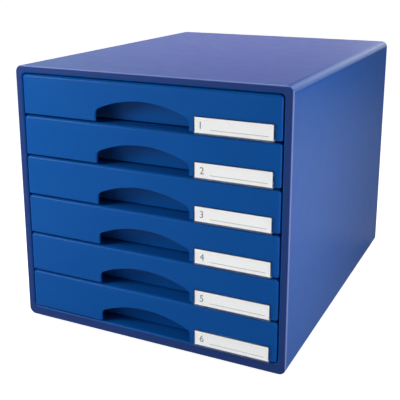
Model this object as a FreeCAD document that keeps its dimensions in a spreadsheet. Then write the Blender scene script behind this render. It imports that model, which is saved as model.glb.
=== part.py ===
"""Desktop drawer unit: a moulded case with six shallow trays that slide out at the front.

Millimetres, +Z up. The unit's front looks along -Y. X = 0 is the middle of its width, Y = 0 is
halfway between its foremost face, that of the label windows, and its back edge, and Z = 0 is
the surface that its four feet stand on.
"""
import FreeCAD, Part
import os
import Sketcher

SIZES = {
    # The case, a sleeve that is open at the back
    "case_width": 287.0,
    "case_depth": 363.0,
    "case_height": 266.0,
    "case_wall": 2.6,
    "case_corner_radius": 7.0,
    "case_front_edge_radius": 1.2,
    "case_rear_edge_radius": 0.8,
    # The rim round the front opening
    "rim_side_width": 8.0,
    "rim_top_width": 7.4,
    "rim_thickness": 3.0,
    "rim_edge_radius": 2.4,
    "sill_height": 10.4,
    "opening_corner_radius": 3.5,
    # The underside and the feet
    "plinth_width": 9.0,
    "plinth_corner_radius": 5.0,
    "foot_boss_diameter": 24.0,
    "foot_inset": 26.0,
    "foot_diameter": 20.0,
    "foot_height": 4.0,
    "foot_bevel": 1.0,
    # The back panel
    "panel_thickness": 2.4,
    "panel_inset": 1.0,
    "panel_clearance": 0.3,
    "panel_flange_depth": 3.0,
    "panel_flange_wall": 2.0,
    "snap_height": 0.8,
    "snap_width": 2.0,
    "snap_length": 40.0,
    "snap_spacing": 150.0,
    "snap_clearance": 0.2,
    # The runner racks inside the sides
    "rack_wall": 2.2,
    "rack_clearance": 0.3,
    "rack_rail_width": 2.0,
    "rack_rail_height": 5.0,
    "ledge_thickness": 1.8,
    "guide_thickness": 1.2,
    "guide_overlap": 3.0,
    "stop_length": 4.0,
    # Fits between the drawers and what is round them
    "front_proud": 1.2,
    "front_side_gap": 0.7,
    "front_top_gap": 0.7,
    "front_sill_gap": 1.4,
    "front_gap": 1.8,
    "slide_clearance": 0.3,
    "guide_clearance": 0.5,
    "ledge_side_gap": 1.2,
    "ledge_front_gap": 0.6,
    "stop_side_gap": 0.8,
    "stop_end_gap": 0.3,
    "tray_rear_gap": 5.2,
    "drawer_travel": 250.0,
    # The drawer front
    "front_wall": 2.2,
    "front_rounding": 2.8,
    "front_corner_radius": 3.4,
    "front_lower_rounding": 1.2,
    "grip_depth": 17.8,
    "grip_centre": -2.0,
    "grip_width": 98.9,
    "grip_height": 22.4,
    "grip_arch_radius": 112.0,
    "grip_corner_radius": 6.0,
    "grip_edge_radius": 0.6,
    # The tray behind it
    "tray_wall": 2.0,
    "tray_drop": 0.7,
    "tray_corner_radius": 8.0,
    "tray_lower_radius": 0.5,
    "tray_floor_radius": 3.0,
    "tray_rim_width": 5.5,
    "tray_rim_thickness": 2.0,
    "tray_rim_setback": 0.9,
    "tray_rear_rim": 4.0,
    "lug_length": 8.0,
    "lug_projection": 3.2,
    # The label holder, which clips over the lower edge of a drawer front
    "label_grip_gap": 5.1,
    "label_side_margin": 6.5,
    "label_height": 15.1,
    "label_window": 0.9,
    "label_border": 0.9,
    "label_lip": 0.6,
    "label_corner_radius": 1.5,
    "label_edge_radius": 0.4,
    "label_web": 0.7,
    "label_hook_wall": 1.0,
    "label_hook_height": 7.0,
    "label_fit": 0.1,
    "card_thickness": 0.4,
    "card_margin": 0.15,
}

DRAWER_COUNT = 6
NEAR = 0.01
NORMAL_SIGN = {"XY_Plane": 1, "XZ_Plane": -1}

doc = FreeCAD.newDocument("DrawerUnit")


def fill_sheet():
    """Puts each driving size in a row of its own: its name, its number and an alias."""
    sheet = doc.addObject("Spreadsheet::Sheet", "Sizes")
    for row, (name, number) in enumerate(SIZES.items(), start=1):
        sheet.set(f"A{row}", name)
        sheet.set(f"B{row}", str(number))
        sheet.setAlias(f"B{row}", name)
    doc.recompute()
    return sheet


class Size:
    """A length that knows its number and the expression on the sheet that gives it."""

    def __init__(self, text, value):
        self.text = text
        self.value = value

    def __add__(self, other):
        return combine(self, "+", other)

    def __radd__(self, other):
        return combine(other, "+", self)

    def __sub__(self, other):
        return combine(self, "-", other)

    def __rsub__(self, other):
        return combine(other, "-", self)

    def __mul__(self, other):
        return combine(self, "*", other)

    def __rmul__(self, other):
        return combine(other, "*", self)

    def __truediv__(self, other):
        return combine(self, "/", other)

    def __neg__(self):
        return combine(-1, "*", self)


def as_size(number):
    return number if isinstance(number, Size) else Size(str(number), number)


def combine(left, sign, right):
    """Joins two lengths with an arithmetic sign, in their text and in their number alike."""
    left = as_size(left)
    right = as_size(right)
    results = {
        "+": lambda: left.value + right.value,
        "-": lambda: left.value - right.value,
        "*": lambda: left.value * right.value,
        "/": lambda: left.value / right.value,
    }
    return Size(f"({left.text} {sign} {right.text})", results[sign]())


sheet = fill_sheet()
size = {name: Size(f"Sizes.{name}", getattr(sheet, name)) for name in SIZES}

# Places worked out from the sizes, in the frame of the case: y = 0 at the front rim and
# z = 0 at the lower edge of the case
half_width = size["case_width"] / 2
inner_half = half_width - size["case_wall"]
opening_half = half_width - size["rim_side_width"]
opening_top = size["case_height"] - size["rim_top_width"]
floor_top = size["sill_height"]
roof_bottom = size["case_height"] - size["case_wall"]
cavity_radius = size["case_corner_radius"] - size["case_wall"]
recess_depth = size["sill_height"] - size["case_wall"]

panel_rear = size["case_depth"] - size["panel_inset"]
plate_rear = panel_rear - size["panel_flange_depth"]
panel_front = plate_rear - size["panel_thickness"]

rack_outer = inner_half - size["rack_clearance"]
rack_inner = rack_outer - size["rack_wall"]
rack_front = size["rim_thickness"] + size["rack_clearance"]
rack_rear = panel_front - size["rack_clearance"]
top_guide_bottom = opening_top - size["front_top_gap"] + size["guide_clearance"]
top_rail_bottom = top_guide_bottom + size["guide_thickness"] + size["rack_clearance"]

# Places in the frame of a drawer: y = 0 at the face of its front and z = 0 at the lower edge
# of its front
front_room = opening_top - floor_top - size["front_sill_gap"] - size["front_top_gap"]
front_height = (front_room - (DRAWER_COUNT - 1) * size["front_gap"]) / DRAWER_COUNT
drawer_pitch = front_height + size["front_gap"]
front_half = opening_half - size["front_side_gap"]
tray_start = size["front_wall"] + size["grip_depth"]
cap_depth = tray_start + size["tray_wall"]
rim_half = front_half - size["tray_rim_setback"]
tray_half = rim_half - size["tray_rim_width"]
rim_bottom = front_height - size["tray_rim_thickness"]
rim_rear = panel_front - size["tray_rear_gap"] + size["front_proud"]
tray_rear = rim_rear - size["tray_rear_rim"]
tray_floor_top = size["tray_wall"] - size["tray_drop"]

lowest_front = floor_top + size["front_sill_gap"]
ledge_start = cap_depth - size["front_proud"] + size["ledge_front_gap"]
stop_rear = ledge_start + size["stop_length"]
lug_front = stop_rear + size["drawer_travel"] + size["stop_end_gap"] + size["front_proud"]

label_start = size["grip_centre"] + size["grip_width"] / 2 + size["label_grip_gap"]
label_end = front_half - size["label_side_margin"]
card_space = size["card_thickness"] + size["label_fit"]
label_depth = card_space + size["label_window"]
label_bottom = -(size["label_web"] + size["label_fit"])
hook_front = size["front_wall"] + size["label_fit"]
hook_rear = hook_front + size["label_hook_wall"]

# The label windows stand a little in front of the rim, and the origin lies midway between
# them and the back edge
label_proud = label_depth + size["front_proud"]
rim_plane = (label_proud - size["case_depth"]) / 2


def new_body(name):
    body = doc.addObject("PartDesign::Body", name)
    body.Label = name
    return body


def set_place(thing, x=0, y=0, z=0):
    """Binds the place of a sub-part to the sheet."""
    for axis, distance in (("x", x), ("y", y), ("z", z)):
        thing.setExpression(f"Placement.Base.{axis}", as_size(distance).text)


def new_sketch(body, name, role, at=0):
    """A sketch on one of the body's own origin planes, moved to the coordinate given by at."""
    sketch = body.newObject("Sketcher::SketchObject", f"{body.Name}_{name}")
    plane = next(item for item in body.Origin.OriginFeatures if item.Role == role)
    sketch.AttachmentSupport = [(plane, "")]
    sketch.MapMode = "FlatFace"
    sketch.setExpression("AttachmentOffset.Base.z", (NORMAL_SIGN[role] * as_size(at)).text)
    return sketch


def dimension(sketch, kind, where, length):
    """A dimension of a sketch, bound to the sheet."""
    length = as_size(length)
    index = sketch.addConstraint(Sketcher.Constraint(kind, *where, length.value))
    sketch.setExpression(f"Constraints[{index}]", length.text)


def pin_point(sketch, line, end, across, up):
    """Sets the distance of one end of a line from the sketch's origin, both ways."""
    dimension(sketch, "DistanceX", (-1, 1, line, end), across)
    dimension(sketch, "DistanceY", (-1, 1, line, end), up)


def line(sketch, start, end):
    return sketch.addGeometry(Part.LineSegment(FreeCAD.Vector(*start, 0), FreeCAD.Vector(*end, 0)), False)


def arc(sketch, centre, radius, start_angle, end_angle):
    circle = Part.Circle(FreeCAD.Vector(*centre, 0), FreeCAD.Vector(0, 0, 1), radius)
    return sketch.addGeometry(Part.ArcOfCircle(circle, start_angle, end_angle), False)


def rectangle(sketch, left, right, low, high):
    """A plain rectangle between two places across and two places up."""
    left, right, low, high = (as_size(edge) for edge in (left, right, low, high))
    corners = [(left.value, low.value), (right.value, low.value),
               (right.value, high.value), (left.value, high.value)]
    sides = [line(sketch, corners[turn], corners[(turn + 1) % 4]) for turn in range(4)]
    for turn in range(4):
        sketch.addConstraint(Sketcher.Constraint("Coincident", sides[turn], 2, sides[(turn + 1) % 4], 1))
        level = "Horizontal" if turn % 2 == 0 else "Vertical"
        sketch.addConstraint(Sketcher.Constraint(level, sides[turn]))
    pin_point(sketch, sides[0], 1, left, low)
    pin_point(sketch, sides[2], 1, right, high)


def polygon(sketch, corners):
    """A closed outline of straight lines through the corners, each pinned both ways."""
    corners = [(as_size(across), as_size(up)) for across, up in corners]
    sides = []
    for begin, end in zip(corners, corners[1:] + corners[:1]):
        sides.append(line(sketch, (begin[0].value, begin[1].value), (end[0].value, end[1].value)))
    for before, after in zip(sides, sides[1:] + sides[:1]):
        sketch.addConstraint(Sketcher.Constraint("Coincident", before, 2, after, 1))
    for side, (across, up) in zip(sides, corners):
        pin_point(sketch, side, 1, across, up)


def rounded_rectangle(sketch, left, right, low, high, radius):
    """A rectangle whose four corners are arcs of one radius, tangent to its sides."""
    left, right, low, high, radius = (as_size(edge) for edge in (left, right, low, high, radius))
    x0, x1, y0, y1, r = left.value, right.value, low.value, high.value, radius.value
    quarter = FreeCAD.Units.Quantity("90 deg").getValueAs("rad").Value
    bottom = line(sketch, (x0 + r, y0), (x1 - r, y0))
    side_right = line(sketch, (x1, y0 + r), (x1, y1 - r))
    top = line(sketch, (x1 - r, y1), (x0 + r, y1))
    side_left = line(sketch, (x0, y1 - r), (x0, y0 + r))
    corners = [
        (arc(sketch, (x1 - r, y0 + r), r, 3 * quarter, 4 * quarter), bottom, side_right),
        (arc(sketch, (x1 - r, y1 - r), r, 0, quarter), side_right, top),
        (arc(sketch, (x0 + r, y1 - r), r, quarter, 2 * quarter), top, side_left),
        (arc(sketch, (x0 + r, y0 + r), r, 2 * quarter, 3 * quarter), side_left, bottom),
    ]
    for corner, before, after in corners:
        sketch.addConstraint(Sketcher.Constraint("Tangent", before, 2, corner, 1))
        sketch.addConstraint(Sketcher.Constraint("Tangent", corner, 2, after, 1))
        dimension(sketch, "Radius", (corner,), radius)
    for level in (bottom, top):
        sketch.addConstraint(Sketcher.Constraint("Horizontal", level))
    for upright in (side_right, side_left):
        sketch.addConstraint(Sketcher.Constraint("Vertical", upright))
    dimension(sketch, "DistanceY", (-1, 1, bottom, 1), low)
    dimension(sketch, "DistanceX", (-1, 1, side_right, 1), right)
    dimension(sketch, "DistanceY", (-1, 1, top, 1), high)
    dimension(sketch, "DistanceX", (-1, 1, side_left, 1), left)


def volume_of(body):
    return 0.0 if body.Tip is None or body.Tip.Shape.isNull() else body.Tip.Shape.Volume


def check_growth(feature, before):
    """Stops if the feature doesn't add material to the volume that was there before it."""
    doc.recompute()
    if feature.Shape.Volume - before < NEAR:
        raise RuntimeError(f"{feature.Name} adds nothing")


def pad(body, name, sketch, role, length, towards=1):
    """Adds the sketch's area, drawn out along the plane's axis."""
    before = volume_of(body)
    feature = body.newObject("PartDesign::Pad", f"{body.Name}_{name}")
    feature.Profile = sketch
    feature.setExpression("Length", as_size(length).text)
    feature.Reversed = towards != NORMAL_SIGN[role]
    check_growth(feature, before)
    return feature


def pocket(body, name, sketch, role, length, towards=1):
    """Cuts the sketch's area away along the plane's axis."""
    before = volume_of(body)
    feature = body.newObject("PartDesign::Pocket", f"{body.Name}_{name}")
    feature.Profile = sketch
    feature.setExpression("Length", as_size(length).text)
    feature.Reversed = towards == NORMAL_SIGN[role]
    doc.recompute()
    if before - feature.Shape.Volume < NEAR:
        raise RuntimeError(f"{feature.Name} cuts nothing")
    return feature


def fillet(body, name, radius, wanted):
    """Rounds the edges of the body's last shape that the function wanted picks."""
    doc.recompute()
    base = body.Tip
    edges = [f"Edge{number}" for number, edge in enumerate(base.Shape.Edges, start=1) if wanted(edge)]
    if not edges:
        raise RuntimeError(f"{body.Name} has no edge for {name}")
    feature = body.newObject("PartDesign::Fillet", f"{body.Name}_{name}")
    feature.Base = (base, edges)
    feature.setExpression("Radius", as_size(radius).text)
    doc.recompute()
    return feature


def runs_along_y(edge):
    """True for a straight edge that runs from front to back."""
    box = edge.BoundBox
    return box.XLength < NEAR and box.ZLength < NEAR and box.YLength > NEAR


def lies_at_y(edge, place):
    box = edge.BoundBox
    return abs(box.YMin - place.value) < NEAR and abs(box.YMax - place.value) < NEAR


def lies_at_z(edge, place):
    box = edge.BoundBox
    return abs(box.ZMin - place.value) < NEAR and abs(box.ZMax - place.value) < NEAR


def reaches_x(edge):
    """The largest distance of the edge from the middle of the width."""
    box = edge.BoundBox
    return max(abs(box.XMin), abs(box.XMax))


def place_in_case(thing):
    set_place(thing, 0, rim_plane, size["foot_height"])


def make_case_shell():
    """The sleeve: one moulding with a turned-in front rim, a raised floor and an open back."""
    body = new_body("case_shell")
    outline = new_sketch(body, "outline", "XZ_Plane")
    rounded_rectangle(outline, -half_width, half_width, 0, size["case_height"], size["case_corner_radius"])
    pad(body, "block", outline, "XZ_Plane", size["case_depth"])

    inside = new_sketch(body, "inside", "XZ_Plane", size["rim_thickness"])
    rounded_rectangle(inside, -inner_half, inner_half, floor_top, roof_bottom, cavity_radius)
    pocket(body, "cavity", inside, "XZ_Plane", size["case_depth"])

    opening = new_sketch(body, "opening", "XZ_Plane")
    rounded_rectangle(opening, -opening_half, opening_half, floor_top, opening_top,
                      size["opening_corner_radius"])
    pocket(body, "front_opening", opening, "XZ_Plane", size["rim_thickness"])

    underside = new_sketch(body, "underside", "XY_Plane")
    rounded_rectangle(underside, size["plinth_width"] - half_width, half_width - size["plinth_width"],
                      size["plinth_width"], size["case_depth"] - size["plinth_width"],
                      size["plinth_corner_radius"])
    pocket(body, "base_recess", underside, "XY_Plane", recess_depth)

    bosses = new_sketch(body, "bosses", "XY_Plane")
    for across, along in foot_places():
        centre = FreeCAD.Vector(across.value, along.value, 0)
        radius = size["foot_boss_diameter"] / 2
        boss = bosses.addGeometry(Part.Circle(centre, FreeCAD.Vector(0, 0, 1), radius.value), False)
        dimension(bosses, "DistanceX", (-1, 1, boss, 3), across)
        dimension(bosses, "DistanceY", (-1, 1, boss, 3), along)
        dimension(bosses, "Radius", (boss,), radius)
    pad(body, "foot_bosses", bosses, "XY_Plane", recess_depth)

    rails = new_sketch(body, "rails", "XZ_Plane", size["rim_thickness"])
    rail_outer = rack_inner - size["rack_clearance"]
    rail_inner = rail_outer - size["rack_rail_width"]
    for side in (-1, 1):
        inner, outer = side * rail_inner, side * rail_outer
        rectangle(rails, inner, outer, floor_top, floor_top + size["rack_rail_height"])
        rectangle(rails, inner, outer, top_rail_bottom, roof_bottom)
    pad(body, "rack_rails", rails, "XZ_Plane", rack_rear - size["rim_thickness"])

    notch_depth = size["snap_height"] + size["snap_clearance"]
    notches = new_sketch(body, "notches", "XY_Plane", floor_top - notch_depth)
    for side in (-1, 1):
        middle = side * size["snap_spacing"] / 2
        reach = size["snap_length"] / 2 + size["snap_clearance"]
        rectangle(notches, middle - reach, middle + reach, snap_front() - size["snap_clearance"],
                  snap_front() + size["snap_width"] + size["snap_clearance"])
    pocket(body, "snap_notches", notches, "XY_Plane", roof_bottom - floor_top + 2 * notch_depth)

    def outer_front(edge):
        return lies_at_y(edge, as_size(0)) and not within_opening(edge)

    def opening_front(edge):
        return lies_at_y(edge, as_size(0)) and within_opening(edge)

    def outer_rear(edge):
        box = edge.BoundBox
        beyond = (reaches_x(edge) > inner_half.value + NEAR or box.ZMax > roof_bottom.value + NEAR
                  or box.ZMin < floor_top.value - size["case_wall"].value)
        return lies_at_y(edge, size["case_depth"]) and beyond

    def within_opening(edge):
        box = edge.BoundBox
        return (reaches_x(edge) < opening_half.value + NEAR and box.ZMax < opening_top.value + NEAR
                and box.ZMin > floor_top.value - NEAR)

    fillet(body, "front_edge", size["case_front_edge_radius"], outer_front)
    fillet(body, "opening_edge", size["rim_edge_radius"], opening_front)
    fillet(body, "rear_edge", size["case_rear_edge_radius"], outer_rear)
    place_in_case(body)
    return body


def foot_places():
    """The middles of the four feet, in the frame of the case."""
    across = half_width - size["foot_inset"]
    rear = size["case_depth"] - size["foot_inset"]
    return [(-across, size["foot_inset"]), (across, size["foot_inset"]), (-across, rear), (across, rear)]


def snap_front():
    """Where the snap ridges of the back panel start, halfway along its edge."""
    return (panel_front + panel_rear - size["snap_width"]) / 2


def make_back_panel():
    """A plate that snaps into the open back, with a low flange all round that points rearward."""
    body = new_body("back_panel")
    edge = inner_half - size["panel_clearance"]
    low = floor_top + size["panel_clearance"]
    high = roof_bottom - size["panel_clearance"]
    radius = cavity_radius - size["panel_clearance"]
    wall = size["panel_flange_wall"]

    outline = new_sketch(body, "outline", "XZ_Plane", panel_front)
    rounded_rectangle(outline, -edge, edge, low, high, radius)
    pad(body, "block", outline, "XZ_Plane", panel_rear - panel_front)

    inside = new_sketch(body, "inside", "XZ_Plane", plate_rear)
    rounded_rectangle(inside, wall - edge, edge - wall, low + wall, high - wall, radius - wall)
    pocket(body, "hollow", inside, "XZ_Plane", size["panel_flange_depth"])

    for name, level, towards in (("low", low, -1), ("high", high, 1)):
        ridges = new_sketch(body, f"{name}_ridges", "XY_Plane", level - towards * wall / 2)
        for side in (-1, 1):
            middle = side * size["snap_spacing"] / 2
            reach = size["snap_length"] / 2
            rectangle(ridges, middle - reach, middle + reach, snap_front(), snap_front() + size["snap_width"])
        pad(body, f"{name}_snaps", ridges, "XY_Plane", wall / 2 + size["snap_height"], towards)
    place_in_case(body)
    return body


def make_runner_rack(name, side):
    """A side plate with a ledge and a guide rib for each drawer, and a stop at each front end."""
    body = new_body(name)
    plate = new_sketch(body, "plate", "XZ_Plane", rack_front)
    inner, outer = side * rack_inner, side * rack_outer
    low, high = floor_top + cavity_radius, roof_bottom - cavity_radius
    bevel = size["rack_wall"]
    polygon(plate, [(inner, low - bevel), (outer, low), (outer, high), (inner, high + bevel)])
    pad(body, "side_plate", plate, "XZ_Plane", rack_rear - rack_front)

    ledge_top = lowest_front + rim_bottom - size["slide_clearance"]
    guide_bottom = lowest_front + front_height + size["guide_clearance"]
    root = rack_inner + size["rack_wall"] / 2
    ledges = new_sketch(body, "ledges", "XZ_Plane", ledge_start)
    rectangle(ledges, side * (tray_half + size["ledge_side_gap"]), side * root,
              ledge_top - size["ledge_thickness"], ledge_top)
    rectangle(ledges, side * (rim_half - size["guide_overlap"]), side * root,
              guide_bottom, guide_bottom + size["guide_thickness"])
    channel = pad(body, "channel", ledges, "XZ_Plane", rack_rear - ledge_start)

    stops = new_sketch(body, "stops", "XZ_Plane", ledge_start)
    rectangle(stops, side * (rim_half + size["stop_side_gap"]), side * root,
              ledge_top - size["ledge_thickness"] / 2, guide_bottom + size["guide_thickness"] / 2)
    stop = pad(body, "stop", stops, "XZ_Plane", size["stop_length"])

    rows = body.newObject("PartDesign::LinearPattern", f"{name}_rows")
    rows.Originals = [channel, stop]
    upward = next(item for item in body.Origin.OriginFeatures if item.Role == "Z_Axis")
    rows.Direction = (upward, [""])
    rows.setExpression("Length", ((DRAWER_COUNT - 1) * drawer_pitch).text)
    rows.Occurrences = DRAWER_COUNT
    body.Tip = rows
    place_in_case(body)
    return body


def draw_grip(sketch):
    """The finger cut-out: upright sides, rounded shoulders and one shallow arc between them.

    The arc's centre lies on the cut-out's middle line. Each shoulder is an arc that touches
    its side and the shallow arc, so its own centre lies one corner radius inside both.
    """
    middle = size["grip_centre"].value
    half = size["grip_width"].value / 2
    bend = size["grip_corner_radius"].value
    sweep = size["grip_arch_radius"].value
    centre_up = size["grip_height"].value - sweep
    bend_across = half - bend
    bend_up = centre_up + ((sweep - bend) ** 2 - bend_across ** 2) ** 0.5
    lean = FreeCAD.Vector(bend_across, bend_up - centre_up, 0).getAngle(FreeCAD.Vector(1, 0, 0))
    flat = FreeCAD.Vector(1, 0, 0).getAngle(FreeCAD.Vector(-1, 0, 0))

    bottom = line(sketch, (middle - half, 0), (middle + half, 0))
    right = line(sketch, (middle + half, 0), (middle + half, bend_up))
    right_bend = arc(sketch, (middle + bend_across, bend_up), bend, 0, lean)
    top = arc(sketch, (middle, centre_up), sweep, lean, flat - lean)
    left_bend = arc(sketch, (middle - bend_across, bend_up), bend, flat - lean, flat)
    left = line(sketch, (middle - half, bend_up), (middle - half, 0))
    ring = [bottom, right, right_bend, top, left_bend, left]
    for before, after in zip(ring, ring[1:] + ring[:1]):
        kind = "Tangent" if before in (right, right_bend, top, left_bend) else "Coincident"
        sketch.addConstraint(Sketcher.Constraint(kind, before, 2, after, 1))
    sketch.addConstraint(Sketcher.Constraint("Horizontal", bottom))
    for upright in (right, left):
        sketch.addConstraint(Sketcher.Constraint("Vertical", upright))
    pin_point(sketch, bottom, 1, size["grip_centre"] - size["grip_width"] / 2, 0)
    dimension(sketch, "DistanceX", (-1, 1, bottom, 2), size["grip_centre"] + size["grip_width"] / 2)
    dimension(sketch, "DistanceX", (-1, 1, top, 3), size["grip_centre"])
    dimension(sketch, "DistanceY", (-1, 1, top, 3), size["grip_height"] - size["grip_arch_radius"])
    dimension(sketch, "Radius", (top,), size["grip_arch_radius"])
    for corner in (right_bend, left_bend):
        dimension(sketch, "Radius", (corner,), size["grip_corner_radius"])


def place_in_row(thing, row, x=0, y=0, z=0):
    """Places a piece of the drawer in the given row, counted from 0 at the bottom."""
    set_place(thing, x, y + rim_plane - size["front_proud"],
              z + size["foot_height"] + lowest_front + row * drawer_pitch)


def make_drawer(number, row):
    """One moulding: a hollow front that is open below, with the tray behind it."""
    body = new_body(f"drawer_{number}")
    face = new_sketch(body, "face", "XZ_Plane")
    rectangle(face, -front_half, front_half, 0, front_height)
    pad(body, "front_block", face, "XZ_Plane", cap_depth)

    def upper_corner(edge):
        return runs_along_y(edge) and lies_at_z(edge, front_height)

    def face_outline(edge):
        return lies_at_y(edge, as_size(0)) and not lies_at_z(edge, as_size(0))

    def lower_edge(edge):
        return lies_at_z(edge, as_size(0)) and not lies_at_y(edge, cap_depth)

    fillet(body, "upper_corners", size["front_corner_radius"], upper_corner)
    fillet(body, "front_rounding", size["front_rounding"], face_outline)
    fillet(body, "front_lower_edge", size["front_lower_rounding"], lower_edge)

    grip_room = new_sketch(body, "grip_room", "XY_Plane")
    rectangle(grip_room, size["front_wall"] - front_half, front_half - size["front_wall"],
              size["front_wall"], tray_start)
    pocket(body, "finger_space", grip_room, "XY_Plane", front_height - size["front_wall"])

    base = new_sketch(body, "base", "XY_Plane", -size["tray_drop"])
    rectangle(base, -tray_half, tray_half, tray_start, tray_rear)
    pad(body, "tray_block", base, "XY_Plane", front_height + size["tray_drop"])

    def rear_corner(edge):
        box = edge.BoundBox
        return box.XLength < NEAR and box.YLength < NEAR and lies_at_y(edge, tray_rear)

    def lower_outline(edge):
        return lies_at_z(edge, -size["tray_drop"])

    fillet(body, "rear_corners", size["tray_corner_radius"], rear_corner)
    fillet(body, "lower_rounding", size["tray_lower_radius"], lower_outline)

    rim = new_sketch(body, "rim", "XY_Plane", rim_bottom)
    rectangle(rim, -rim_half, rim_half, tray_start + size["tray_wall"] / 2, rim_rear)
    pad(body, "side_rims", rim, "XY_Plane", size["tray_rim_thickness"])

    lug_half = rim_half + size["lug_projection"]
    lugs = new_sketch(body, "lugs", "XY_Plane", rim_bottom)
    rectangle(lugs, -lug_half, lug_half, lug_front, lug_front + size["lug_length"])
    pad(body, "stop_lugs", lugs, "XY_Plane", size["tray_rim_thickness"])

    room = new_sketch(body, "room", "XY_Plane", front_height)
    inner = tray_half - size["tray_wall"]
    rounded_rectangle(room, -inner, inner, cap_depth, tray_rear - size["tray_wall"],
                      size["tray_corner_radius"] - size["tray_wall"])
    pocket(body, "tray_room", room, "XY_Plane", front_height - tray_floor_top, -1)

    def floor_outline(edge):
        return lies_at_z(edge, tray_floor_top)

    fillet(body, "floor_rounding", size["tray_floor_radius"], floor_outline)

    cut = new_sketch(body, "grip", "XZ_Plane")
    draw_grip(cut)
    pocket(body, "finger_cutout", cut, "XZ_Plane", size["front_wall"] + size["grip_depth"] / 2)

    def grip_outline(edge):
        box = edge.BoundBox
        off_middle = abs(box.Center.x - size["grip_centre"].value)
        inside = off_middle < size["grip_width"].value / 2 + NEAR and box.ZMax < rim_bottom.value
        return inside and lies_at_y(edge, as_size(0)) and not lies_at_z(edge, as_size(0))

    fillet(body, "grip_edge", size["grip_edge_radius"], grip_outline)
    place_in_row(body, row)
    return body


def make_label_holder(number, row):
    """A clear holder: a bordered window with a lip below, a web under the front and a hook."""
    body = new_body(f"label_holder_{number}")

    plate = new_sketch(body, "plate", "XZ_Plane", -label_depth)
    rounded_rectangle(plate, label_start, label_end, label_bottom - size["label_lip"],
                      size["label_height"], size["label_corner_radius"])
    pad(body, "window", plate, "XZ_Plane", label_depth)

    room = new_sketch(body, "room", "XZ_Plane", -card_space)
    border = size["label_border"]
    rectangle(room, label_start + border, label_end - border, 0, size["label_height"] - border)
    pocket(body, "card_room", room, "XZ_Plane", card_space)

    web = new_sketch(body, "web", "XZ_Plane", -label_depth / 2)
    inset = size["label_corner_radius"]
    rectangle(web, label_start + inset, label_end - inset, label_bottom, label_bottom + size["label_web"])
    pad(body, "lower_web", web, "XZ_Plane", label_depth / 2 + hook_rear)

    hook = new_sketch(body, "hook", "XZ_Plane", hook_front)
    rectangle(hook, label_start + inset, label_end - inset, label_bottom, size["label_hook_height"])
    pad(body, "rear_hook", hook, "XZ_Plane", size["label_hook_wall"])

    def window_outline(edge):
        return lies_at_y(edge, -label_depth)

    fillet(body, "window_edge", size["label_edge_radius"], window_outline)
    place_in_row(body, row)
    return body


def make_label_card(number, row):
    """The paper card that lies in the holder, against the drawer front."""
    margin = size["label_border"] + size["card_margin"]
    card = doc.addObject("Part::Box", f"label_card_{number}")
    card.Label = f"label_card_{number}"
    card.setExpression("Length", (label_end - label_start - 2 * margin).text)
    card.setExpression("Width", size["card_thickness"].text)
    card.setExpression("Height", (size["label_height"] - margin - size["card_margin"]).text)
    place_in_row(card, row, label_start + margin, size["label_fit"] / 2 - card_space, size["card_margin"])
    return card


def make_foot(name, across, along):
    """A round rubber foot with a bevelled lower edge, stuck to its boss."""
    body = new_body(name)
    radius = size["foot_diameter"] / 2
    bevel = size["foot_bevel"]
    height = size["foot_height"]
    profile = new_sketch(body, "profile", "XZ_Plane")
    polygon(profile, [(0, 0), (radius - bevel, 0), (radius, bevel), (radius, height), (0, height)])
    turned = body.newObject("PartDesign::Revolution", f"{name}_pad")
    turned.Profile = profile
    turned.ReferenceAxis = (profile, ["V_Axis"])
    check_growth(turned, 0)
    set_place(body, across, along + rim_plane, 0)
    return body


def make_all():
    parts = [make_case_shell(), make_back_panel()]
    parts.append(make_runner_rack("runner_rack_left", -1))
    parts.append(make_runner_rack("runner_rack_right", 1))
    for number in range(1, DRAWER_COUNT + 1):
        row = DRAWER_COUNT - number
        parts.append(make_drawer(number, row))
        parts.append(make_label_holder(number, row))
        parts.append(make_label_card(number, row))
    names = ["foot_front_left", "foot_front_right", "foot_rear_left", "foot_rear_right"]
    for name, (across, along) in zip(names, foot_places()):
        parts.append(make_foot(name, across, along))
    doc.recompute()
    return parts


def check(parts):
    """Stops if any object failed or any sub-part isn't one valid solid."""
    for thing in doc.Objects:
        if "Invalid" in thing.State or "Error" in thing.State:
            raise RuntimeError(f"{thing.Name} failed: {thing.State}")
    for part in parts:
        shape = part.Shape
        if shape.isNull() or not shape.isValid() or len(shape.Solids) != 1:
            raise RuntimeError(f"{part.Label} isn't one valid solid")


def write(parts):
    os.makedirs("parts", exist_ok=True)
    for part in parts:
        part.Shape.exportStep(f"parts/{part.Label}.step")


sub_parts = make_all()
check(sub_parts)
write(sub_parts)
for part in sub_parts:
    print(f"{part.Label:20s} {part.Shape.Volume:12.1f} mm3  {part.Shape.BoundBox}")
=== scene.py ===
"""Looks, lights and camera for the desktop drawer unit.

Metres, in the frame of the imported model: +Z up, the drawer fronts look along -Y and the feet
stand on z = 0.
"""
import math

import bpy
import numpy as np
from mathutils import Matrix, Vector


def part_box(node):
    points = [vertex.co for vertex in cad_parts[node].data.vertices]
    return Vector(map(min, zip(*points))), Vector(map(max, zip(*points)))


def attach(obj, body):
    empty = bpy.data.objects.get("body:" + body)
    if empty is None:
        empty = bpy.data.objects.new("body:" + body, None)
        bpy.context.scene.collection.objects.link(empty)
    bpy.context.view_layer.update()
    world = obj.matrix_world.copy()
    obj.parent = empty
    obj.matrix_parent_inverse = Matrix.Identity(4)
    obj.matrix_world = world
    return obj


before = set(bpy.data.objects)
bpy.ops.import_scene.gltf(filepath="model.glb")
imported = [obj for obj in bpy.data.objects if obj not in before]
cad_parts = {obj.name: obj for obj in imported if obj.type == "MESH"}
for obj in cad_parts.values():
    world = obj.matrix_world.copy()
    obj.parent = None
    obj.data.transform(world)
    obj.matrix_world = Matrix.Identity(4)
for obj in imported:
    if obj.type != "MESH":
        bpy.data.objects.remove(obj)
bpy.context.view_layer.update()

MM = 0.001
WHITE = (1.0, 1.0, 1.0, 1.0)
DRAWERS = range(1, 7)
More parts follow.
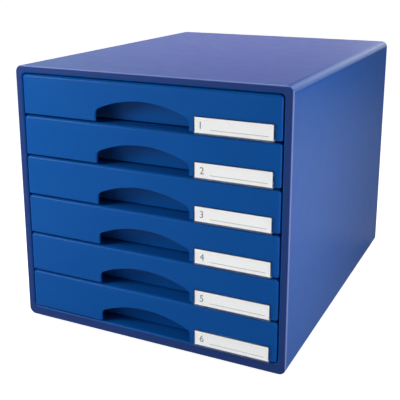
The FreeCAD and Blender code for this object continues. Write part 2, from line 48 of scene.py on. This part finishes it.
FEET = ("front_left", "front_right", "rear_left", "rear_right")

# The camera, turned and raised from a look straight at the fronts
CAMERA_PLACE = (0.33146, -0.75043, 0.37362)
CAMERA_TURN = math.radians(25.63)
CAMERA_RISE = math.radians(14.03)
CAMERA_LENS = 66.29
CAMERA_SHIFT = -0.15

# The soft boxes: name, place, the point aimed at, width, height, watts and colour
LAMPS = (
    ("key_left_front", (-0.47, -0.56, 0.42), (-0.08, -0.18, 0.15), 0.26, 0.26, 2.8, "#ffffff"),
    ("fill_front", (-0.55, -1.1, 0.16), (-0.05, -0.18, 0.13), 0.7, 0.7, 1.7, "#ffffff"),
    ("strip_right", (0.6, -0.25, 0.26), (0.14, -0.16, 0.16), 0.05, 0.5, 1.85, "#f4f0ff"),
    ("rear_rim", (0.32, 1.1, 0.6), (0.14, 0.1, 0.26), 0.3, 0.3, 0.5, "#ffffff"),
    ("top", (-0.1, 0.2, 1.0), (0.0, 0.15, 0.27), 0.3, 0.3, 4.7, "#f4f0ff"),
)

# The direction of the studio wall that has a faint violet cast
VIOLET_WAY = (-0.37, 0.92, 0.13)

FLOOR_REACH = 8.0

# The print on a label card
INK_PROUD = 0.02 * MM
NUMERAL_SIZE = 9.5 * MM
NUMERAL_MARGIN = 5.0 * MM
RULE_START = 15.0 * MM
RULE_END = 4.0 * MM
RULE_HEIGHT = 3.2 * MM
RULE_THICKNESS = 0.3 * MM


# Camera

def set_camera():
    """The camera stands to the right of the front and a little above the top of the case.

    The photograph's upright edges are almost parallel, so the image plane is moved down with
    the lens shift as well as tilted. The shift stays small enough for the other views of the
    part to hold all of it.
    """
    level = math.cos(CAMERA_RISE)
    back = Vector((math.sin(CAMERA_TURN) * level, -math.cos(CAMERA_TURN) * level,
                   math.sin(CAMERA_RISE)))
    camera = bpy.data.objects.new("camera", bpy.data.cameras.new("camera"))
    camera.data.lens = CAMERA_LENS
    camera.data.shift_y = CAMERA_SHIFT
    camera.data.clip_start = 0.05
    camera.location = CAMERA_PLACE
    camera.rotation_euler = (-back).to_track_quat("-Z", "Y").to_euler()
    bpy.context.scene.collection.objects.link(camera)
    bpy.context.scene.camera = camera


# Small helpers

def linear(hex_colour):
    """The linear colour of an sRGB hex value such as #1d4f9e."""
    coded = np.array([int(hex_colour[at:at + 2], 16) for at in (1, 3, 5)]) / 255
    plain = np.where(coded <= 0.04045, coded / 12.92, ((coded + 0.055) / 1.055) ** 2.4)
    return (*plain.tolist(), 1.0)


def add_node(tree, kind, inputs=None, **settings):
    """Adds a shader node with its settings. An input is a plain value or another node's socket."""
    node = tree.nodes.new(kind)
    for name, value in settings.items():
        setattr(node, name, value)
    for name, value in (inputs or {}).items():
        if isinstance(value, bpy.types.NodeSocket):
            tree.links.new(value, node.inputs[name])
        else:
            node.inputs[name].default_value = value
    return node


def calculate(tree, operation, first, second):
    """The result of two values joined by an operation such as MULTIPLY."""
    return add_node(tree, "ShaderNodeMath", {0: first, 1: second}, operation=operation).outputs[0]


def mix(tree, factor, first, second):
    """The first colour where factor is 0 and the second where it is 1."""
    return add_node(tree, "ShaderNodeMix", {"Factor": factor, "A": first, "B": second},
                    data_type="RGBA").outputs["Result"]


def ramp(tree, value, start, end, low, high):
    """Goes evenly from low to high as the value goes from start to end, and stays there."""
    return add_node(tree, "ShaderNodeMapRange",
                    {"Value": value, "From Min": start, "From Max": end, "To Min": low,
                     "To Max": high}).outputs["Result"]


def noise_of(tree, place, feature_mm, detail=2.0):
    """Noise whose blotches are about as wide as the given number of millimetres."""
    return add_node(tree, "ShaderNodeTexNoise",
                    {"Vector": place, "Scale": 1 / (feature_mm * MM),
                     "Detail": detail}).outputs["Fac"]


def relief_of(tree, height, strength, depth):
    """The surface's direction once the height is raised to the given depth in metres."""
    return add_node(tree, "ShaderNodeBump",
                    {"Height": height, "Strength": strength, "Distance": depth}).outputs["Normal"]


def new_material(name):
    """An empty material, its node tree and the coordinates of the object that wears it."""
    material = bpy.data.materials.new(name)
    material.use_nodes = True
    tree = material.node_tree
    tree.nodes.clear()
    return material, tree, add_node(tree, "ShaderNodeTexCoord").outputs["Object"]


def finish_with(tree, shader):
    add_node(tree, "ShaderNodeOutputMaterial", {"Surface": shader})


# Materials

def rim_finish(tree, place, skin):
    """The skin colour of the case, with its front rim's darker land and a painted highlight laid
    over it.

    The flat land lies within 0.1 mm of the foremost plane and is coloured darker and a little
    greyer. The case's outer front edge along the top and down the right side, within 2 mm of the
    plane, is coloured pale as a painted highlight. This stands in for a part of the light line
    there, which the small rounding is too narrow to catch.
    """
    low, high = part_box("case_shell")
    ways = add_node(tree, "ShaderNodeSeparateXYZ", {"Vector": place})
    land = ramp(tree, ways.outputs["Y"], low.y + 0.1 * MM, low.y + 0.4 * MM, 1.0, 0.0)
    # The rim's flat land is coloured darker and a little greyer than the skin
    darker_land = mix(tree, land, skin, linear("#27417e"))
    beside = ramp(tree, ways.outputs["X"], high.x - 1.1 * MM, high.x - 0.5 * MM, 0.0, 1.0)
    above = ramp(tree, ways.outputs["Z"], high.z - 1.1 * MM, high.z - 0.5 * MM, 0.0, 1.0)
    outer = calculate(tree, "MAXIMUM", beside, above)
    front = ramp(tree, ways.outputs["Y"], low.y + 1.4 * MM, low.y + 2.0 * MM, 1.0, 0.0)
    # Painted highlight: the outer front edge along the top and down the right side is coloured
    # pale
    return mix(tree, calculate(tree, "MULTIPLY", outer, front), darker_land, linear("#7d8fc8"))


def moulded_polystyrene(name, colour, pale, roughness, overlay=None):
    """High-impact polystyrene, injection moulded against a finely spark-eroded steel mould.

    The eye sees a satin skin: broad soft highlights, a very fine grain, and faint cloudy patches
    where the melt flowed and cooled at different rates. The grain breaks up the mirror reflection,
    so the specular level is far below that of polished polystyrene. An overlay is a function that
    lays further colour over the skin colour, such as a darker rim land and a painted highlight.
    """
    material, tree, place = new_material(name)
    flow_clouds = noise_of(tree, place, 45.0)
    tint = mix(tree, flow_clouds, linear(colour), linear(pale))
    if overlay:
        tint = overlay(tree, place, tint)
    gloss = ramp(tree, noise_of(tree, place, 18.0, 4.0), 0.0, 1.0, roughness - 0.04,
                 roughness + 0.04)
    # The mould's grain is about 0.1 mm wide, drawn 0.6 mm wide so that it shows at all
    grain = relief_of(tree, noise_of(tree, place, 0.6, 3.0), 0.25, 0.02 * MM)
    skin = add_node(tree, "ShaderNodeBsdfPrincipled",
                    {"Base Color": tint, "Roughness": gloss, "IOR": 1.59,
                     "Specular IOR Level": 0.05, "Normal": grain})
    finish_with(tree, skin.outputs["BSDF"])
    return material


def clear_polystyrene():
    """Crystal polystyrene, moulded against polished steel: glass-clear, with a sharp gloss.

    Long faint waves in the skin keep its reflections from being those of ground glass.
    """
    material, tree, place = new_material("clear_polystyrene_moulded")
    waves = relief_of(tree, noise_of(tree, place, 9.0), 0.3, 0.02 * MM)
    clear = add_node(tree, "ShaderNodeBsdfPrincipled",
                     {"Base Color": linear("#fdfefe"), "Roughness": 0.06, "IOR": 1.59,
                      "Transmission Weight": 1.0, "Normal": waves})
    finish_with(tree, clear.outputs["BSDF"])
    return material


def label_card():
    """Uncoated card of about 200 g, cut to size: bright, matt, with a faint fibrous mottle."""
    material, tree, place = new_material("card_uncoated")
    fibres = noise_of(tree, place, 0.8, 5.0)
    card = add_node(tree, "ShaderNodeBsdfPrincipled",
                    {"Base Color": mix(tree, fibres, linear("#f6f6f5"), linear("#fdfdfb")),
                     "Roughness": 0.85, "IOR": 1.45,
                     "Normal": relief_of(tree, fibres, 0.4, 0.02 * MM)})
    finish_with(tree, card.outputs["BSDF"])
    return material


def printing_ink():
    """Offset ink on card: a dark neutral grey that sinks in a little unevenly."""
    material, tree, place = new_material("printing_ink")
    tint = mix(tree, noise_of(tree, place, 0.7), linear("#3a3d42"), linear("#4a4d52"))
    ink = add_node(tree, "ShaderNodeBsdfPrincipled",
                   {"Base Color": tint, "Roughness": 0.6, "IOR": 1.45})
    finish_with(tree, ink.outputs["BSDF"])
    return material


def foot_rubber():
    """Moulded synthetic rubber, filled with carbon black: dull dark grey with a dusty bloom."""
    material, tree, place = new_material("rubber_moulded")
    bloom = noise_of(tree, place, 3.0, 4.0)
    rubber = add_node(tree, "ShaderNodeBsdfPrincipled",
                      {"Base Color": mix(tree, bloom, linear("#1b1c1e"), linear("#2c2d30")),
                       "Roughness": 0.75, "IOR": 1.52,
                       "Normal": relief_of(tree, bloom, 0.3, 0.05 * MM)})
    finish_with(tree, rubber.outputs["BSDF"])
    return material


def finish_nodes():
    """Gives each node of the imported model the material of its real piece."""
    case = moulded_polystyrene("case_polystyrene_satin", "#0a529f", "#0c56a4", 0.3, rim_finish)
    drawer = moulded_polystyrene("drawer_polystyrene_satin", "#0a529f", "#0c56a4", 0.3)
    runner = moulded_polystyrene("runner_polystyrene_plain", "#1d3d7c", "#1f4080", 0.42)
    clear, card, rubber = clear_polystyrene(), label_card(), foot_rubber()
    finishes = {"case_shell": case, "back_panel": case, "runner_rack_left": runner,
                "runner_rack_right": runner}
    for number in DRAWERS:
        finishes |= {f"drawer_{number}": drawer, f"label_holder_{number}": clear,
                     f"label_card_{number}": card}
    finishes |= {f"foot_{place}": rubber for place in FEET}
    for name, material in finishes.items():
        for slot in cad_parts[name].material_slots:
            slot.material = material


# The print on the label cards

def numeral_outline(number):
    """A numeral as a flat mesh: its points across and up, in its own plane, and its faces."""
    curve = bpy.data.curves.new("numeral", "FONT")
    curve.body = str(number)
    curve.size = NUMERAL_SIZE
    writer = bpy.data.objects.new("numeral", curve)
    bpy.context.scene.collection.objects.link(writer)
    bpy.context.view_layer.update()
    drawn = writer.evaluated_get(bpy.context.evaluated_depsgraph_get())
    flat = bpy.data.meshes.new_from_object(drawn)
    bpy.data.objects.remove(writer)
    points = np.empty(len(flat.vertices) * 3)
    flat.vertices.foreach_get("co", points)
    across, up = points.reshape(-1, 3)[:, 0], points.reshape(-1, 3)[:, 1]
    return across, up, [tuple(polygon.vertices) for polygon in flat.polygons]


def print_label(number, ink):
    """A plain numeral and a ruled line, printed on the card of one drawer.

    The numeral is a flat outline in its own plane, (across, up), set down so that across runs
    along X and up along Z. The line is a flat rectangle. Both lie 0.02 mm in front of the card.
    """
    low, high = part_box(f"label_card_{number}")
    across, up, faces = numeral_outline(number)
    across = across - across.min() + low.x + NUMERAL_MARGIN
    up = up - (up.min() + up.max()) / 2 + (low.z + high.z) / 2
    left, right = low.x + RULE_START, high.x - RULE_END
    lower, upper = low.z + RULE_HEIGHT, low.z + RULE_HEIGHT + RULE_THICKNESS
    first = len(up)
    across = np.concatenate([across, [left, right, right, left]])
    up = np.concatenate([up, [lower, lower, upper, upper]])
    faces.append((first, first + 1, first + 2, first + 3))
    mesh = bpy.data.meshes.new(f"label_print_{number}")
    mesh.from_pydata(np.column_stack([across, np.full(len(up), low.y - INK_PROUD), up]), [], faces)
    mesh.materials.append(ink)
    printed = bpy.data.objects.new(f"label_print_{number}", mesh)
    bpy.context.scene.collection.objects.link(printed)
    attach(printed, f"drawer_{number}")


# Studio

def seen_rays(tree, gloss):
    """1 for a ray that looks directly or through clear plastic, and gloss for a reflected one."""
    rays = add_node(tree, "ShaderNodeLightPath")
    direct = calculate(tree, "MAXIMUM", rays.outputs["Is Camera Ray"],
                       rays.outputs["Is Transmission Ray"])
    reflected = calculate(tree, "MULTIPLY", rays.outputs["Is Glossy Ray"], gloss)
    return calculate(tree, "MAXIMUM", direct, reflected)


def make_floor():
    """A pale floor that runs far past the camera's view and keeps the object's soft shadow.

    In the object's gloss it is brightest where light pools, off to the right, and it is dimmer
    close beside the object and far behind it. The pool's far side lies further back the
    further it is to the right.
    """
    material, tree, place = new_material("floor_paper")
    tint = mix(tree, noise_of(tree, place, 60.0), linear("#c8c8c8"), linear("#cccccc"))
    matt = add_node(tree, "ShaderNodeBsdfDiffuse", {"Color": tint})
    ways = add_node(tree, "ShaderNodeSeparateXYZ", {"Vector": place})
    across = ramp(tree, ways.outputs["X"], 0.15, 0.38, 0.3, 1.2)
    far_side = ramp(tree, ways.outputs["X"], 0.19, 0.6, 0.0, 1.24)
    beyond = calculate(tree, "SUBTRACT", ways.outputs["Y"], far_side)
    along = ramp(tree, beyond, -0.02, 0.3, 1.0, 0.0)
    pool = calculate(tree, "MULTIPLY", across, along)
    lift = calculate(tree, "MULTIPLY", seen_rays(tree, pool), 0.9)
    white = add_node(tree, "ShaderNodeEmission", {"Color": WHITE, "Strength": lift})
    both = add_node(tree, "ShaderNodeAddShader",
                    {0: matt.outputs["BSDF"], 1: white.outputs["Emission"]})
    finish_with(tree, both.outputs["Shader"])
    corners = FLOOR_REACH * np.array([[-1, -1, 0], [1, -1, 0], [1, 1, 0], [-1, 1, 0]], float)
    mesh = bpy.data.meshes.new("floor")
    mesh.from_pydata(corners, [], [(0, 1, 2, 3)])
    mesh.materials.append(material)
    floor = bpy.data.objects.new("floor", mesh)
    bpy.context.scene.collection.objects.link(floor)


def make_world():
    """A pale studio: an even faint light, and where it is seen or reflected, white walls.

    Seen directly the walls are plain white. In reflections they are lit, up to 1.8 times as
    bright, near the floor and grow dim towards the ceiling. They are bright up to a greater
    height on the right, which lights the case's long rounded edge, and the one behind the
    object, a little to the left, has a faint violet cast.
    """
    world = bpy.data.worlds.new("surround")
    world.use_nodes = True
    tree = world.node_tree
    tree.nodes.clear()
    way = add_node(tree, "ShaderNodeTexCoord").outputs["Generated"]
    ways = add_node(tree, "ShaderNodeSeparateXYZ", {"Vector": way})
    taller = ramp(tree, ways.outputs["X"], -0.24, 0.0, 0.0, 0.4)
    rise = calculate(tree, "SUBTRACT", ways.outputs["Z"], taller)
    wall = ramp(tree, rise, 0.08, 0.21, 1.8, 0.2)
    towards = add_node(tree, "ShaderNodeVectorMath", {0: way, 1: VIOLET_WAY},
                       operation="DOT_PRODUCT")
    cast = ramp(tree, towards.outputs["Value"], 0.955, 1.0, 0.0, 0.8)
    sky = add_node(tree, "ShaderNodeBackground",
                   {"Color": mix(tree, cast, WHITE, linear("#f4d2ee")),
                    "Strength": calculate(tree, "MAXIMUM", seen_rays(tree, wall), 0.2)})
    add_node(tree, "ShaderNodeOutputWorld", {"Surface": sky.outputs["Background"]})
    bpy.context.scene.world = world


def add_lamp(name, place, aim, width, height, power, colour):
    """A flat soft box at a place, turned to a point on the object."""
    lamp = bpy.data.lights.new(name, "AREA")
    lamp.shape = "RECTANGLE"
    lamp.size = width
    lamp.size_y = height
    lamp.energy = power
    lamp.color = linear(colour)[:3]
    box = bpy.data.objects.new(name, lamp)
    box.location = place
    box.rotation_euler = (Vector(aim) - Vector(place)).to_track_quat("-Z", "Y").to_euler()
    bpy.context.scene.collection.objects.link(box)


set_camera()
finish_nodes()
label_ink = printing_ink()
for drawer_number in DRAWERS:
    print_label(drawer_number, label_ink)
make_floor()
make_world()
for lamp_values in LAMPS:
    add_lamp(*lamp_values)

bpy.context.scene.view_settings.view_transform = "Standard"
